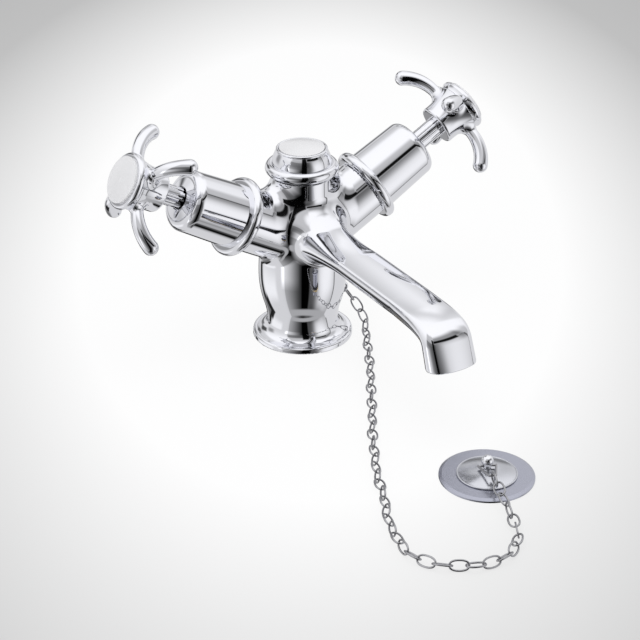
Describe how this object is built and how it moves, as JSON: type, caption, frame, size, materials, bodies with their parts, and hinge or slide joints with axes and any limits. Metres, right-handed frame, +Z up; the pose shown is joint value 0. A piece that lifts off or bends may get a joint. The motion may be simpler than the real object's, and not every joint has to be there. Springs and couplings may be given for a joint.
{
  "type": "basin mixer tap",
  "caption": "Chromed basin mixer tap with cross handles on ceramic quarter-turn valves, a fixed cast spout, white index discs, and a plug on a link chain with its slotted waste.",
  "frame": {"origin": "middle of the foot's underside, on the slab that the tap is fixed to", "axes": "+Z up from the slab, the spout along -Y, the cold valve towards +X and the hot valve towards -X"},
  "size_m": [0.2264, 0.2744, 0.1943],
  "materials": {
    "chrome": "mirror-bright chrome plate",
    "chain_metal": "bright plated wire",
    "satin_metal": "chrome dulled to a satin",
    "index_white": "white glaze",
    "brass": "machined",
    "steel": "zinc plated",
    "rubber": "moulded",
    "fibre": "pressed fibre",
    "valve_ceramic": "lapped",
    "inner_plastic": "moulded"
  },
  "bodies": {
    "tap": {"body_casting": "chrome", "inlet_block": "brass", "flow_straightener": "inner_plastic", "foot_gasket": "rubber", "fixing_stud": "steel", "fixing_rubber": "rubber", "fixing_plate": "steel", "fixing_nut": "brass", "cap_seal": "rubber", "cap_shell": "chrome", "cap_disc": "index_white", "hot_shroud": "chrome", "hot_valve_body": "brass", "hot_valve_washer": "fibre", "hot_seat_seal": "rubber", "hot_fixed_disc": "valve_ceramic", "cold_shroud": "chrome", "cold_valve_body": "brass", "cold_valve_washer": "fibre", "cold_seat_seal": "rubber", "cold_fixed_disc": "valve_ceramic", "chain_eye": "chrome", "chain": "chain_metal", "chain_end": "chain_metal", "waste_body": "satin_metal", "waste_washer": "rubber", "waste_back_nut": "brass"},
    "hot_handle": {"hot_spindle": "chrome", "hot_moving_disc": "valve_ceramic", "hot_spindle_orings": "rubber", "hot_spindle_clip": "steel", "hot_handle_cross": "chrome", "hot_handle_screw": "steel", "hot_index_bezel": "chrome", "hot_index_disc": "index_white"},
    "cold_handle": {"cold_spindle": "chrome", "cold_moving_disc": "valve_ceramic", "cold_spindle_orings": "rubber", "cold_spindle_clip": "steel", "cold_handle_cross": "chrome", "cold_handle_screw": "steel", "cold_index_bezel": "chrome", "cold_index_disc": "index_white"},
    "plug": {"plug_cover": "chrome", "plug_seal": "rubber", "plug_washer": "steel", "plug_nut": "brass", "plug_post": "chrome", "plug_shackle": "chain_metal"}
  },
  "joints": [
    {"name": "hot_turn", "type": "hinge", "parent": "tap", "child": "hot_handle", "pos_m": [0, 0, 0.0581], "axis": [-0.8738, 0, 0.4863], "range_deg": [0, 90]},
    {"name": "cold_turn", "type": "hinge", "parent": "tap", "child": "cold_handle", "pos_m": [0, 0, 0.0581], "axis": [0.8738, 0, 0.4863], "range_deg": [-90, 0]},
    {"name": "plug_lift", "type": "slide", "parent": "tap", "child": "plug", "axis": [0, 0, 1], "range_m": [0, 0.03], "deforming": ["chain_end"]}
  ]
}
